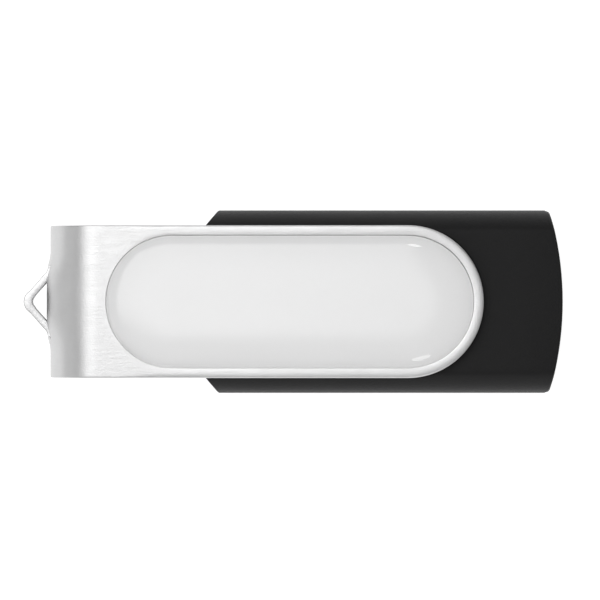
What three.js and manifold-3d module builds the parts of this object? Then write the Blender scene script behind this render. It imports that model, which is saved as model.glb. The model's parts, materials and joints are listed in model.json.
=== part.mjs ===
// A swivel USB flash drive: a folded sheet-metal cover with a domed label, and a plastic
// drive body that turns between the cover's two arms.
//
// Millimetres, +Z up. The drive lies on the cover's lower arm, closed, with the fold of the
// cover and its cord loop towards -X. The model is laid out about the swivel axis and the
// body's parting plane, and the last lines move it so that the origin is the middle of the
// footprint, on the surface that the drive lies on.

import * as THREE from "three";
import { mergeVertices } from "three/addons/utils/BufferGeometryUtils.js";
import Module from "manifold-3d";

const wasm = await Module();
wasm.setup();

// ---------------------------------------------------------------- driving dimensions

// USB-A plug: the sizes of the standard.
const plugWidth = 12.0;
const plugHeight = 4.5;
const plugWall = 0.3;
const plugCorner = 0.6;
const plugExposed = 11.8; // from the body's front face to the tip
const tongueThickness = 1.95;
const tongueSetback = 0.5; // from the tip of the metal shell to the tongue
const contactWidth = 1.0;
const contactThickness = 0.25;
const contactProud = 0.05; // above the tongue's face
const outerContactY = 3.5;
const innerContactY = 1.0;
const outerContactSetback = 1.3; // from the tip
const innerContactSetback = 2.3;
const latchWindow = { length: 2.0, width: 2.5, y: 2.9, setback: 5.16 };

// Drive body, a clamshell of two plastic shells.
const bodyWidth = 19.04;
const bodyFront = 21.8; // swivel axis to the front face
const bodyRear = 16.15; // swivel axis to the middle of the curved rear face
const rearRadius = 33.2; // of the rear face in plan
const rearCornerRadius = 0.5;
const shoulder = 2.15; // length of the slanted front corners
const shoulderAngle = THREE.MathUtils.degToRad(50.4);
const sideRound = 2.06; // width of the rounded long sides, seen from above
const wall = 1.1;
const frontWall = 1.5;
const hubWall = 0.7; // behind the swivel recess
const hubRim = 1.4; // how much wider the thickened wall is than the recess in it
const plugRoom = 0.25; // between the plug and the inside of the shells, up and down

// Swivel cover, one stamped and folded strip of sheet.
const sheet = 0.8;
const coverWidth = 15.84;
const pocketRim = 1.04; // metal left round the label's pocket
const pocketLength = 38.3;
const embossDepth = 0.4; // of the pocket, and of the pad on the lower arm
const lowerPadRadius = 6.0;
const dimpleRadius = 3.2; // the swivel bearing, pressed out of each arm
const dimpleDepth = 0.75;
const dimpleWall = 0.56; // round the dimple, thinned by the pressing
const pressWall = 0.4; // how much wider the other pressings are inside than outside
const loopReach = 2.72; // of the cord loop, beyond the fold
const loopStrip = 3.2; // its height
const loopThickness = 0.76;
const loopOuterRadius = 1.15;
const loopInnerRadius = 0.7;
const loopRoot = 3.0; // from the middle to where the loop's legs leave the fold
const loopBend = 0.2; // how far inside that point each leg starts to bend into the fold
const loopFlare = 1.1; // how much wider the loop is where it joins the fold
const loopBulge = 0.64; // how far lancing the loop has drawn the fold outwards
const bulgeFade = 2.2; // how far past the loop's legs the bulge reaches
const slotMargin = 0.15; // between the loop and the sheet that it is lanced from, up and down

// Label in the pocket.
const filmThickness = 0.15;
const domeHeight = 1.25;
const domeShoulder = 0.9; // share of the dome's half width that is rounded

// Insulator block of the plug, inside the body.
const blockSetback = 0.4; // from the body's front face to the block
const blockLength = 3.0;
const earLength = 3.3; // of the plug shell's ears, behind the block
const earTab = 1.4; // of the tab on each ear, through the board
const earTop = 1.25; // above the body's parting plane
const contactTail = 2.1; // of each contact, on the board

// Circuit board and what is soldered to it.
const boardThickness = 0.8;
const boardSideGap = 1.0; // to the inside of the shells' sides
const neckMargin = 0.8; // of board in front of the slots for the plug shell's tabs
const boardRearGap = 1.9; // to the inside of the rear wall, for the stop rib
const rearStop = 0.7;
const ledgeWidth = 0.9; // of the board's edge that the ledges carry
const flash = { length: 18.4, height: 1.0, leads: 0.8, sideGap: 0.52 }; // as wide as the ledges allow
const flashRearGap = 3.7; // from the leads to the board's rear edge
const controller = { size: 7.0, height: 0.85 };
const controllerMark = { radius: 0.35, inset: 0.9, depth: 0.08 };
const crystal = { length: 5.0, width: 3.2, height: 1.05, lidInset: 0.3 };
const chipPart = { length: 1.6, width: 0.8, cap: 0.35, proud: 0.03 }; // capacitors and resistors
const capacitorHeight = 0.8;
const resistorHeight = 0.45;
const controllerOffset = -4.5; // from the middle of the memory package
const crystalOffset = 5.5;
const beforeGap = 1.4; // from the controller's edge to the middle of the parts before it
const behindGap = 1.6;
const besideGap = 1.5; // from the crystal's edge to the middle of its capacitors
const solderGap = 0.05; // under the packages, for the solder
const frontPostSetback = 5.4; // from the insulator to the front posts
const rearPostInset = 0.7; // how much nearer the middle the rear posts are than the front ones
const postRadius = 1.1;
const pinRadius = 0.6;
const pinLength = 1.3;
const ribThickness = 0.6;

// Clearances.
const padGap = 0.15; // between the cover's pads and the body
const dimpleGap = 0.1; // round and under the swivel bearing
const tipGap = 1.6; // between the fold and the plug's tip as it swings past
const slip = 0.05; // between pieces that are pushed together
const fitGap = 0.1; // between moulded pieces
const boardGap = 0.25; // round the circuit board
const partGap = 0.15; // over the parts on the circuit board
const overlap = 0.2; // of two shapes that are joined into one piece

// ---------------------------------------------------------------- derived places

// The plug and the board, seen from the side.
const plugHalf = plugHeight / 2;
const plugFloor = -plugHalf + plugWall;
const tongueTop = plugFloor + tongueThickness;
const contactTop = tongueTop + contactProud;
const contactBottom = contactTop - contactThickness;
const boardTop = contactBottom;
const boardBottom = boardTop - boardThickness;
const tallestUnder = Math.max(controller.height, crystal.height, capacitorHeight);
const partsHalf = partGap + Math.max(tallestUnder - boardBottom, boardTop + solderGap + flash.height);

// The body's half height is set by the plug in its shells, or by the swivel recess over the parts.
const recessDepth = dimpleDepth + dimpleGap - padGap;
const bodyHalf = Math.max(plugHalf + plugRoom + wall, partsHalf + hubWall + recessDepth);
const cavityHalf = bodyHalf - wall;
const recessFloor = bodyHalf - recessDepth;
const hubInner = recessFloor - hubWall;
const hubRadius = dimpleRadius + hubRim;

// The body, seen from above.
const tip = -(bodyFront + plugExposed);
const halfWidth = bodyWidth / 2;
const sideRadius = (bodyHalf ** 2 + sideRound ** 2) / (2 * sideRound);
const sideCentre = halfWidth - sideRadius;
const cavityHalfWidth = halfWidth - wall;
const frontHalf = halfWidth - shoulder * Math.tan(shoulderAngle);
const rearCentre = bodyRear - rearRadius;

// The cover.
const padFace = bodyHalf + padGap;
const coverInner = padFace + embossDepth;
const coverOuter = coverInner + sheet;
const coverRadius = coverWidth / 2;
const pocketRadius = coverRadius - pocketRim;
const pocketFloor = coverOuter - embossDepth;
const pocketStart = pocketRadius * 2 - pocketLength; // centre of the pocket's end nearest the fold
const swing = Math.hypot(tip, plugWidth / 2); // radius that the plug's corners sweep
const foldSag = coverInner - Math.sqrt(coverInner ** 2 - plugHalf ** 2);
const foldOuter = -(swing + tipGap + foldSag + sheet);
const foldCentre = foldOuter + coverOuter;
const slotHalf = loopStrip / 2 + slotMargin;

// Inside the body, from front to rear.
const blockFront = -bodyFront + blockSetback;
const blockRear = blockFront + blockLength;
const boardFront = blockRear + fitGap;
const earRear = blockRear + earLength;
const tabFront = earRear - earTab;
const boardRear = bodyRear - wall - boardRearGap;
const boardHalf = cavityHalfWidth - boardSideGap;
const flashMiddle = boardRear - flashRearGap - flash.leads - flash.length / 2;
const ledgeInner = boardHalf - ledgeWidth;
const frontPost = { x: blockRear + frontPostSetback, y: cavityHalfWidth - postRadius };
const rearPostY = frontPost.y - rearPostInset;
const rearWallX = rearCentre + Math.sqrt((rearRadius - wall) ** 2 - frontPost.y ** 2);
const rearPost = { x: rearWallX - postRadius - overlap, y: rearPostY };
const ribEnd = rearPost.x - postRadius * 2; // of the ribs and ledges along the sides

// ---------------------------------------------------------------- helpers

// A geometry as a manifold solid, for joining and cutting.
function solid(geometry) {
  const bare = new THREE.BufferGeometry();
  bare.setAttribute("position", geometry.getAttribute("position"));
  bare.setIndex(geometry.index);
  const merged = mergeVertices(bare, 1e-4);
  return new wasm.Manifold(
    new wasm.Mesh({
      numProp: 3,
      vertProperties: new Float32Array(merged.getAttribute("position").array),
      triVerts: new Uint32Array(merged.index.array),
    }),
  );
}

// A manifold solid as a geometry, with a crease at each edge.
function geometryOf(body) {
  const mesh = body.getMesh();
  const geometry = new THREE.BufferGeometry();
  geometry.setAttribute("position", new THREE.BufferAttribute(new Float32Array(mesh.vertProperties), 3));
  geometry.setIndex(new THREE.BufferAttribute(new Uint32Array(mesh.triVerts), 1));
  const creased = geometry.toNonIndexed();
  creased.computeVertexNormals();
  return creased;
}

const X = new THREE.Vector3(1, 0, 0);
const Y = new THREE.Vector3(0, 1, 0);
const Z = new THREE.Vector3(0, 0, 1);

function extruded(shape, length, curveSegments, steps = 1) {
  return new THREE.ExtrudeGeometry(shape, { depth: length, bevelEnabled: false, curveSegments, steps });
}

// A shape drawn in (y, z), from x0 to x1.
function alongX(shape, x0, x1, curveSegments = 8) {
  const turn = new THREE.Matrix4().makeBasis(Y, Z, X);
  return solid(extruded(shape, x1 - x0, curveSegments).applyMatrix4(turn).translate(x0, 0, 0));
}

// A shape drawn in (x, y), from z0 to z1.
function alongZ(shape, z0, z1, curveSegments = 12) {
  return solid(extruded(shape, z1 - z0, curveSegments).translate(0, 0, z0));
}

function box(x0, x1, y0, y1, z0, z1) {
  const block = new THREE.BoxGeometry(x1 - x0, y1 - y0, z1 - z0);
  return solid(block.translate((x0 + x1) / 2, (y0 + y1) / 2, (z0 + z1) / 2));
}

// An upright cylinder at (x, y).
function post(x, y, radius, z0, z1, segments = 24) {
  const round = new THREE.CylinderGeometry(radius, radius, z1 - z0, segments);
  return solid(round.rotateX(Math.PI / 2).translate(x, y, (z0 + z1) / 2));
}

function joined(parts) {
  return parts.reduce((whole, part) => whole.add(part));
}

function less(body, cuts) {
  return cuts.reduce((rest, cut) => rest.subtract(cut), body);
}

// The two signs that mirror a feature to both sides.
const sides = [-1, 1];

// The range from a to b, on the given side of the middle, with its lower end first.
function span(side, a, b) {
  return side > 0 ? [a, b] : [-b, -a];
}

// A closed shape through corners given as [x, y, fillet radius].
function filleted(corners) {
  const shape = new THREE.Shape();
  corners.forEach(([x, y, radius = 0], i) => {
    const at = new THREE.Vector2(x, y);
    const before = new THREE.Vector2(...corners.at(i - 1)).sub(at).normalize();
    const after = new THREE.Vector2(...corners[(i + 1) % corners.length]).sub(at).normalize();
    const half = Math.acos(THREE.MathUtils.clamp(before.dot(after), -1, 1)) / 2;
    const back = radius / Math.tan(half);
    const start = at.clone().addScaledVector(before, back);
    const end = at.clone().addScaledVector(after, back);
    if (i === 0) shape.moveTo(start.x, start.y);
    else shape.lineTo(start.x, start.y);
    if (radius > 0) {
      const middle = at.clone().addScaledVector(before.add(after).normalize(), radius / Math.sin(half));
      const from = start.clone().sub(middle).angle();
      const to = end.clone().sub(middle).angle();
      const clockwise = start.clone().sub(middle).cross(end.clone().sub(middle)) < 0;
      shape.absarc(middle.x, middle.y, radius, from, to, clockwise);
    }
  });
  shape.closePath();
  return shape;
}

function rectangle(halfX, halfY, radius) {
  return filleted([
    [halfX, halfY, radius],
    [-halfX, halfY, radius],
    [-halfX, -halfY, radius],
    [halfX, -halfY, radius],
  ]);
}

// A slot shape along X with round ends centred on x0 and x1.
function stadium(x0, x1, radius) {
  const shape = new THREE.Shape();
  shape.absarc(x1, 0, radius, -Math.PI / 2, Math.PI / 2, false);
  shape.absarc(x0, 0, radius, Math.PI / 2, (3 * Math.PI) / 2, false);
  shape.closePath();
  return shape;
}

// ---------------------------------------------------------------- swivel cover

// 1 up to the near distance and 0 beyond the far one, with a smooth fall between.
function fade(distance, near, far) {
  return 1 - THREE.MathUtils.smoothstep(distance, near, far);
}

// The U-shaped strip, bulged at the middle of the fold where the loop is lanced out.
function foldedStrip() {
  const profile = new THREE.Shape();
  profile.moveTo(coverRadius, coverOuter);
  profile.lineTo(foldCentre, coverOuter);
  profile.absarc(foldCentre, 0, coverOuter, Math.PI / 2, (3 * Math.PI) / 2, false);
  profile.lineTo(coverRadius, -coverOuter);
  profile.lineTo(coverRadius, -coverInner);
  profile.lineTo(foldCentre, -coverInner);
  profile.absarc(foldCentre, 0, coverInner, (3 * Math.PI) / 2, Math.PI / 2, true);
  profile.lineTo(coverRadius, coverInner);
  profile.closePath();
  const strip = extruded(profile, coverWidth, 8, 18);
  strip.applyMatrix4(new THREE.Matrix4().makeBasis(X, Z, Y.clone().negate()));
  strip.translate(0, coverWidth / 2, 0);
  const places = strip.getAttribute("position");
  for (let i = 0; i < places.count; i++) {
    if (places.getX(i) > foldCentre) continue;
    const across = fade(Math.abs(places.getY(i)), loopRoot / 2, loopRoot + bulgeFade);
    const upward = fade(Math.abs(places.getZ(i)), slotHalf, coverInner);
    places.setX(i, places.getX(i) - loopBulge * across * upward);
  }
  return solid(strip);
}

// The V-shaped cord loop, a band lanced out of the fold, drawn in plan.
function cordLoop() {
  const point = foldOuter - loopReach; // outside of the rounded tip
  const slope = Math.atan2(loopReach + loopOuterRadius * (Math.SQRT2 - 1), loopRoot);
  const sharp = point - loopOuterRadius * (1 / Math.cos(slope) - 1);
  const inside = sharp + loopThickness / Math.cos(slope);
  const legX = (y) => sharp + y * Math.tan(slope);
  const rootX = foldOuter + sheet - overlap;
  const rootY = loopRoot + loopFlare;
  const bendY = loopRoot - loopBend;
  const innerRootY = (rootX - inside) / Math.tan(slope);
  const outline = filleted([
    [sharp, 0, loopOuterRadius],
    [legX(bendY), -bendY, loopOuterRadius],
    [foldOuter, -rootY],
    [rootX, -rootY],
    [rootX, -innerRootY],
    [inside, 0, loopInnerRadius],
    [rootX, innerRootY],
    [rootX, rootY],
    [foldOuter, rootY],
    [legX(bendY), bendY, loopOuterRadius],
  ]);
  return alongZ(outline, -loopStrip / 2, loopStrip / 2, 5);
}

// A round or slot-shaped pressing in one arm: sunk on the outside and raised as much on the inside.
// side is 1 for the upper arm and -1 for the lower one; level is how deep the metal already is.
function pressed(cover, side, x0, radius, wider, level, depth) {
  const innerFace = coverInner - level - depth;
  const outerFace = coverOuter - level - depth;
  const raised = alongZ(stadium(x0, 0, radius + wider), ...span(side, innerFace, coverInner + overlap));
  const dish = alongZ(stadium(x0, 0, radius), ...span(side, outerFace, coverOuter + 1));
  return cover.add(raised).subtract(dish);
}

function swivelCover() {
  const plan = new THREE.Shape();
  plan.moveTo(foldOuter - 1, coverRadius);
  plan.lineTo(foldOuter - 1, -coverRadius);
  plan.absarc(0, 0, coverRadius, -Math.PI / 2, Math.PI / 2, false);
  plan.closePath();
  const slotEnd = loopRoot + loopFlare - sheet / 2;
  const slot = box(foldOuter - loopBulge - 1, foldOuter + sheet * 2, -slotEnd, slotEnd, -slotHalf, slotHalf);
  let cover = foldedStrip().intersect(alongZ(plan, -coverOuter - 1, coverOuter + 1, 16));
  cover = cover.subtract(slot).add(cordLoop());
  cover = pressed(cover, 1, pocketStart, pocketRadius, pressWall, 0, embossDepth);
  cover = pressed(cover, -1, 0, lowerPadRadius, pressWall, 0, embossDepth);
  for (const side of sides) {
    cover = pressed(cover, side, 0, dimpleRadius - dimpleWall, dimpleWall, embossDepth, dimpleDepth);
  }
  return cover;
}

// ---------------------------------------------------------------- label

function labelFilm() {
  const outline = stadium(pocketStart, 0, pocketRadius - fitGap);
  return alongZ(outline, pocketFloor, pocketFloor + filmThickness);
}

// A lens of resin with an elliptical edge: a slot shape bevelled over nearly its whole radius.
function resinDome() {
  const radius = pocketRadius - fitGap;
  const spread = radius * domeShoulder;
  const middle = 0.02; // thickness of the unbevelled layer, which the base plane halves
  const lens = new THREE.ExtrudeGeometry(stadium(pocketStart, 0, radius), {
    depth: middle,
    bevelThickness: domeHeight - middle / 2,
    bevelSize: spread,
    bevelOffset: -spread,
    bevelSegments: 6,
    curveSegments: 12,
  });
  const base = pocketFloor + filmThickness;
  const above = box(foldOuter, coverRadius, -coverWidth, coverWidth, base, base + domeHeight + 1);
  return solid(lens.translate(0, 0, base - middle / 2)).intersect(above);
}

// ---------------------------------------------------------------- body shells

// Cross-section of the body in (y, z), flat above and below with rounded sides, taken in by inset.
function bodySection(inset) {
  const halfHeight = bodyHalf - inset;
  const radius = sideRadius - inset;
  const reach = Math.asin(halfHeight / radius);
  const shape = new THREE.Shape();
  shape.absarc(sideCentre, 0, radius, -reach, reach, false);
  shape.absarc(-sideCentre, 0, radius, Math.PI - reach, Math.PI + reach, false);
  shape.closePath();
  return shape;
}

// Plan of the body: slanted front corners and a curved rear, taken in by inset.
function bodyPlan(inset, frontInset) {
  const slope = Math.tan(shoulderAngle);
  const offset = inset / Math.cos(shoulderAngle);
  const side = halfWidth - inset;
  const front = -bodyFront + frontInset;
  const frontY = frontHalf + frontInset * slope - offset;
  const shoulderX = -bodyFront + (side - frontHalf + offset) / slope;
  const radius = rearRadius - inset;
  const corner = rearCornerRadius;
  const cornerX = rearCentre + Math.sqrt((radius - corner) ** 2 - (side - corner) ** 2);
  const turn = Math.atan2(side - corner, cornerX - rearCentre);
  const shape = new THREE.Shape();
  shape.moveTo(front, -frontY);
  shape.lineTo(shoulderX, -side);
  shape.absarc(cornerX, -(side - corner), corner, -Math.PI / 2, -turn, false);
  shape.absarc(rearCentre, 0, radius, -turn, turn, false);
  shape.absarc(cornerX, side - corner, corner, turn, Math.PI / 2, false);
  shape.lineTo(shoulderX, side);
  shape.lineTo(front, frontY);
  shape.closePath();
  return shape;
}

function bodyBlock(inset, frontInset) {
  const section = alongX(bodySection(inset), -bodyFront - 1, bodyRear + 1, 6);
  return section.intersect(alongZ(bodyPlan(inset, frontInset), -bodyHalf - 1, bodyHalf + 1, 4));
}

// One hollow half of the body, above (side 1) or below (side -1) the parting plane at z = 0.
function hollowHalf(side) {
  const reach = bodyFront + bodyRear;
  const half = box(-reach, reach, -reach, reach, ...span(side, 0, reach));
  const hub = post(0, 0, hubRadius, ...span(side, hubInner, cavityHalf + overlap), 32);
  const recess = post(0, 0, dimpleRadius + dimpleGap, ...span(side, recessFloor, bodyHalf + 1), 48);
  const mouth = rectangle(plugWidth / 2 + slip, plugHalf + slip, plugCorner);
  const opening = alongX(mouth, -bodyFront - 1, -bodyFront + frontWall + 1, 4);
  const shell = bodyBlock(0, 0).subtract(bodyBlock(wall, frontWall)).intersect(half);
  return less(shell.add(hub), [recess, opening]);
}

const postPlaces = [frontPost, rearPost].flatMap(({ x, y }) => sides.map((side) => [x, side * y]));

// A moulded feature, kept within the walls that it grows from.
function trimmed(feature) {
  return feature.intersect(bodyBlock(wall / 2, wall / 2));
}

// Locating posts, with pins that enter the lower shell's posts, and ribs that hold the board down.
function upperShell() {
  const top = cavityHalf + overlap;
  const posts = postPlaces.map(([x, y]) => trimmed(post(x, y, postRadius, 0, top, 20)));
  const pins = postPlaces.map(([x, y]) => post(x, y, pinRadius, -pinLength, overlap, 12));
  const ribStart = frontPost.x + postRadius + fitGap;
  const ribs = sides.map((side) =>
    trimmed(
      box(ribStart, ribEnd, ...span(side, ledgeInner, ledgeInner + ribThickness), boardTop + fitGap, top),
    ),
  );
  return joined([hollowHalf(1), ...posts, ...pins, ...ribs]);
}

// Locating posts with sockets, ledges that carry the board, and a stop behind it.
function lowerShell() {
  const bottom = -cavityHalf - overlap;
  const posts = postPlaces.map(([x, y]) => trimmed(post(x, y, postRadius, bottom, 0, 20)));
  const ledges = sides.map((side) =>
    trimmed(
      box(frontPost.x, ribEnd, ...span(side, ledgeInner, cavityHalfWidth + overlap), bottom, boardBottom),
    ),
  );
  const stopX = boardRear + fitGap;
  const stopHalf = rearPost.y - postRadius * 2;
  const stop = box(stopX, stopX + rearStop, -stopHalf, stopHalf, bottom, boardTop);
  const socketFloor = -pinLength - fitGap * 3;
  const sockets = postPlaces.map(([x, y]) => post(x, y, pinRadius + fitGap, socketFloor, 1, 12));
  return less(joined([hollowHalf(-1), ...posts, ...ledges, stop]), sockets);
}

// ---------------------------------------------------------------- plug

// The folded steel shell, with latch windows and an ear each side whose tab is soldered to the board.
function plugShell() {
  const rear = blockRear - overlap;
  const tube = rectangle(plugWidth / 2, plugHalf, plugCorner);
  tube.holes.push(rectangle(plugWidth / 2 - plugWall, plugHalf - plugWall, plugCorner - plugWall));
  const ears = sides.flatMap((side) => {
    const across = span(side, plugWidth / 2 - plugWall, plugWidth / 2);
    return [
      box(rear - overlap, earRear, ...across, boardTop + fitGap, earTop),
      box(tabFront, earRear, ...across, boardBottom - plugWall, boardTop + fitGap * 2),
    ];
  });
  const { length, width, y, setback } = latchWindow;
  const front = tip + setback;
  const windows = sides.map((side) =>
    box(front, front + length, ...span(side, y - width / 2, y + width / 2), -plugHeight, plugHeight),
  );
  return less(joined([alongX(tube, tip, rear, 4), ...ears]), windows);
}

const contacts = [
  { name: "contact_power", y: -outerContactY, setback: outerContactSetback },
  { name: "contact_data_minus", y: -innerContactY, setback: innerContactSetback },
  { name: "contact_data_plus", y: innerContactY, setback: innerContactSetback },
  { name: "contact_ground", y: outerContactY, setback: outerContactSetback },
];

// The moulded tongue and the block behind it, grooved for the contacts.
function plugInsulator() {
  const halfInside = plugWidth / 2 - plugWall - slip;
  const section = rectangle(halfInside, plugHalf - plugWall - slip, plugCorner - plugWall);
  const aboveTongue = box(tip, blockFront, -plugWidth, plugWidth, tongueTop, plugHeight);
  const grooves = contacts.map(({ y, setback }) => {
    const half = contactWidth / 2 + slip;
    return box(tip + setback - slip, blockRear + 1, y - half, y + half, contactBottom, contactTop + slip);
  });
  return less(alongX(section, tip + tongueSetback, blockRear, 4), [aboveTongue, ...grooves]);
}

function contact({ y, setback }) {
  const half = contactWidth / 2;
  return box(tip + setback, boardFront + contactTail, y - half, y + half, contactBottom, contactTop);
}

// ---------------------------------------------------------------- circuit board

// Necked between the plug's ears, notched round the front posts and cut off before the rear ones.
function circuitBoard() {
  const neck = plugWidth / 2 - plugWall - boardGap;
  const neckEnd = tabFront - fitGap - neckMargin;
  const cut = postRadius + boardGap; // kept clear round each post
  const chamfer = rearPost.x + rearPost.y - cut * Math.SQRT2; // x + y along the rear corners
  const outline = filleted([
    [boardFront, -neck],
    [neckEnd, -neck],
    [neckEnd, -boardHalf, boardGap],
    [chamfer - boardHalf, -boardHalf],
    [boardRear, boardRear - chamfer],
    [boardRear, chamfer - boardRear],
    [chamfer - boardHalf, boardHalf],
    [neckEnd, boardHalf, boardGap],
    [neckEnd, neck],
    [boardFront, neck],
  ]);
  const cuts = sides.flatMap((side) => {
    const across = span(side, plugWidth / 2 - plugWall - fitGap, plugWidth / 2 + fitGap);
    return [
      post(frontPost.x, side * frontPost.y, cut, boardBottom - 1, boardTop + 1, 20),
      box(tabFront - fitGap, earRear + fitGap, ...across, boardBottom - 1, boardTop + 1),
    ];
  });
  return less(alongZ(outline, boardBottom, boardTop, 6), cuts);
}

// A memory package with a row of gull-wing leads at each end, each row as one bar.
function flashChip() {
  const { length, height, leads, sideGap } = flash;
  const width = 2 * (ledgeInner - sideGap);
  const thick = 0.15;
  const exit = solderGap + height * 0.45; // where the leads leave the package
  const body = box(-length / 2, length / 2, -width / 2, width / 2, solderGap, solderGap + height);
  const rows = sides.flatMap((side) => {
    const knee = length / 2 + leads * 0.4;
    const across = [overlap - width / 2, width / 2 - overlap];
    return [
      box(...span(side, length / 2 - overlap, knee), ...across, exit, exit + thick),
      box(...span(side, knee - thick, knee), ...across, 0, exit + thick),
      box(...span(side, knee - thick, length / 2 + leads), ...across, 0, thick),
    ];
  });
  return joined([body, ...rows]).translate(flashMiddle, 0, boardTop);
}

// A flat package with a round mark sunk over its first pin.
function controllerChip() {
  const { size, height } = controller;
  const body = box(-size / 2, size / 2, -size / 2, size / 2, 0, height);
  const markAt = size / 2 - controllerMark.inset;
  const { radius, depth } = controllerMark;
  return body.subtract(post(-markAt, markAt, radius, height - depth, height + 1, 16));
}

// A ceramic package with a metal lid a little smaller than it.
function crystalCan() {
  const { length, width, height, lidInset } = crystal;
  const base = alongZ(rectangle(length / 2, width / 2, lidInset), 0, height * 0.7, 4);
  const lid = rectangle(length / 2 - lidInset, width / 2 - lidInset, lidInset);
  return base.add(alongZ(lid, height * 0.6, height, 4));
}

// A capacitor or resistor, with end caps that stand a little proud of its middle.
function chipBlock(height) {
  const { length, width, cap, proud } = chipPart;
  const middle = box(
    cap / 2 - length / 2,
    length / 2 - cap / 2,
    proud - width / 2,
    width / 2 - proud,
    proud,
    height - proud,
  );
  const caps = sides.map((side) =>
    box(...span(side, length / 2 - cap, length / 2), -width / 2, width / 2, 0, height),
  );
  return joined([middle, ...caps]);
}

// What is soldered under the board, each turned upside down at its place.
const controllerX = flashMiddle + controllerOffset;
const crystalX = flashMiddle + crystalOffset;
const beforeController = controllerX - controller.size / 2 - beforeGap;
const behindController = controllerX + controller.size / 2 + behindGap;
const besideCrystal = crystal.width / 2 + besideGap;
const supplyY = innerContactY + chipPart.length; // level with the data resistors
const capacitor = () => chipBlock(capacitorHeight);
const resistor = () => chipBlock(resistorHeight);
const underBoard = [
  { name: "controller_chip", make: controllerChip, x: controllerX, y: 0 },
  { name: "crystal", make: crystalCan, x: crystalX, y: 0 },
  { name: "capacitor_supply", make: capacitor, x: beforeController, y: -supplyY },
  { name: "capacitor_core", make: capacitor, x: behindController, y: -chipPart.length },
  { name: "capacitor_crystal_1", make: capacitor, x: crystalX, y: -besideCrystal },
  { name: "capacitor_crystal_2", make: capacitor, x: crystalX, y: besideCrystal },
  { name: "resistor_data_minus", make: resistor, x: beforeController, y: -innerContactY },
  { name: "resistor_data_plus", make: resistor, x: beforeController, y: innerContactY },
  { name: "resistor_reset", make: resistor, x: behindController, y: chipPart.length },
];

// ---------------------------------------------------------------- materials and assembly

function finish(color, roughness, metalness) {
  return new THREE.MeshStandardMaterial({ color, roughness, metalness });
}

const satinAluminium = finish(0xe2e3e4, 0.38, 1);
const whiteFilm = finish(0xf2f2f2, 0.6, 0);
const clearResin = finish(0xf6f7f8, 0.06, 0);
const blackPlastic = finish(0x242425, 0.55, 0);
const platedSteel = finish(0xc9cacb, 0.28, 1);
const whiteNylon = finish(0xe8e6df, 0.5, 0);
const goldPlate = finish(0xd9a94a, 0.25, 1);
const solderMask = finish(0x1f5a37, 0.4, 0);
const chipEpoxy = finish(0x1b1b1d, 0.6, 0);
const crystalLid = finish(0xbfc0c2, 0.3, 1);
const capacitorCeramic = finish(0xa88a66, 0.5, 0);
const resistorBody = finish(0x202024, 0.45, 0);
const partFinish = {
  controller: chipEpoxy,
  crystal: crystalLid,
  capacitor: capacitorCeramic,
  resistor: resistorBody,
};

function mesh(name, body, material) {
  const made = new THREE.Mesh(geometryOf(body), material.clone());
  made.name = name;
  return made;
}

const cover = new THREE.Group();
cover.add(
  mesh("swivel_cover", swivelCover(), satinAluminium),
  mesh("label_film", labelFilm(), whiteFilm),
  mesh("resin_dome", resinDome(), clearResin),
);

const plug = new THREE.Group();
plug.add(
  mesh("plug_shell", plugShell(), platedSteel),
  mesh("plug_insulator", plugInsulator(), whiteNylon),
  ...contacts.map((each) => mesh(each.name, contact(each), goldPlate)),
);

const electronics = new THREE.Group();
electronics.add(
  mesh("circuit_board", circuitBoard(), solderMask),
  mesh("flash_memory_chip", flashChip(), chipEpoxy),
  ...underBoard.map(({ name, make, x, y }) => {
    const placed = make().rotate([180, 0, 0]).translate(x, y, boardBottom);
    return mesh(name, placed, partFinish[name.split("_")[0]]);
  }),
);

const drive = new THREE.Group();
drive.add(
  mesh("upper_shell", upperShell(), blackPlastic),
  mesh("lower_shell", lowerShell(), blackPlastic),
  plug,
  electronics,
);

const assembly = new THREE.Group();
assembly.add(cover, drive);
assembly.position.set((loopReach - foldOuter - bodyRear) / 2, 0, coverOuter);

const flashDrive = new THREE.Group();
flashDrive.add(assembly);
export default flashDrive;
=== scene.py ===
"""The looks of a swivel USB flash drive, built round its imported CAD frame.

The pieces are laid out in millimetres about the swivel axis and the body's parting plane, as
points (x, y, z) or flat points, and place() puts them into the frame's metres. The studio's
lamps and floor are in metres.
"""

import json
import math

import bpy
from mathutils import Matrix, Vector
from mathutils.geometry import delaunay_2d_cdt


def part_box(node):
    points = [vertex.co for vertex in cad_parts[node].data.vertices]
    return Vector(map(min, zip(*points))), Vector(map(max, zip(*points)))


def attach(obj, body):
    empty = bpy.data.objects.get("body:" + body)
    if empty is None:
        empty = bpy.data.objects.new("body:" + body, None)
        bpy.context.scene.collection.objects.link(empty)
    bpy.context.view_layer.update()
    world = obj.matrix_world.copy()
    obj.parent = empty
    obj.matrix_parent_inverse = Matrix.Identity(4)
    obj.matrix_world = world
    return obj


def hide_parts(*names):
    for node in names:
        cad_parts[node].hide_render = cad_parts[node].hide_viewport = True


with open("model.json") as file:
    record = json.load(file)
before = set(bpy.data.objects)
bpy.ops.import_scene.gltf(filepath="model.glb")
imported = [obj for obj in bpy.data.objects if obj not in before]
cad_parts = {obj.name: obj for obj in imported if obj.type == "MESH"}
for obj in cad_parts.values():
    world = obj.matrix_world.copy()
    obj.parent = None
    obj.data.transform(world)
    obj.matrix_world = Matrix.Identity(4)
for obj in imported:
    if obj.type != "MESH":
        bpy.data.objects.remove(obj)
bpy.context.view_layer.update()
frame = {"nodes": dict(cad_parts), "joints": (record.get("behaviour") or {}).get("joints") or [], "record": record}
scene = bpy.context.scene

# ---------------------------------------------------------------- sizes from the frame, in mm

MM = 0.001
pivot = Vector(frame["joints"][0]["pos_m"])


def span(name):
    """A CAD node's lowest and highest corner in mm about the swivel axis and the parting plane."""
    low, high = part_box(name)
    return (low - pivot) / MM, (high - pivot) / MM


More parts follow.
